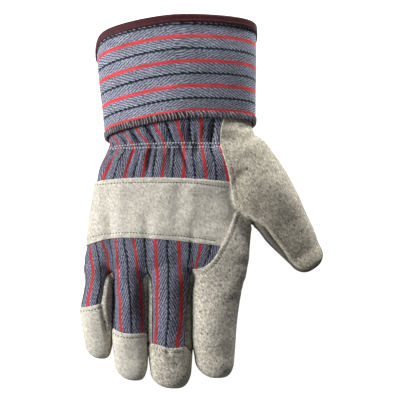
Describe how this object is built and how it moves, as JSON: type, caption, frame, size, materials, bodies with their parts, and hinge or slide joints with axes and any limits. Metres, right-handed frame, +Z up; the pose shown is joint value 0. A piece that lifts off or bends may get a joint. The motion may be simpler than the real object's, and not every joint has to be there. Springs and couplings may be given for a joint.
{
  "type": "leather palm work glove with safety cuff",
  "caption": "Right-hand work glove lying palm down: split-leather palm, striped canvas back, knuckle strap, gathered wrist and a stiff flared cuff, hollow with an open mouth.",
  "frame": {"origin": "middle of the flat face that the palm rests on", "axes": "+Z up from the surface, away from the back of the hand; +Y along the glove from the fingertips to the cuff; +X to the thumb's side"},
  "size_m": [0.181, 0.2726, 0.0645],
  "materials": {
    "split_leather": "undyed split cowhide, napped",
    "striped_canvas": "twill-woven cotton canvas, blue-grey with red and black stripes",
    "cuff_canvas": "starched twill canvas, blue-grey with red and black stripes",
    "binding_tape": "vinyl-coated woven tape, dark maroon",
    "sewing_thread": "spun cotton sewing thread"
  },
  "bodies": {
    "root": {"back_panel": "striped_canvas", "palm": "split_leather", "index_finger": "split_leather", "thumb_back": "split_leather", "thumb_front": "split_leather", "knuckle_strap": "split_leather", "pinky_cap": "split_leather", "ring_cap": "split_leather", "middle_cap": "split_leather", "cuff": "cuff_canvas", "cuff_binding": "binding_tape"}
  },
  "joints": []
}
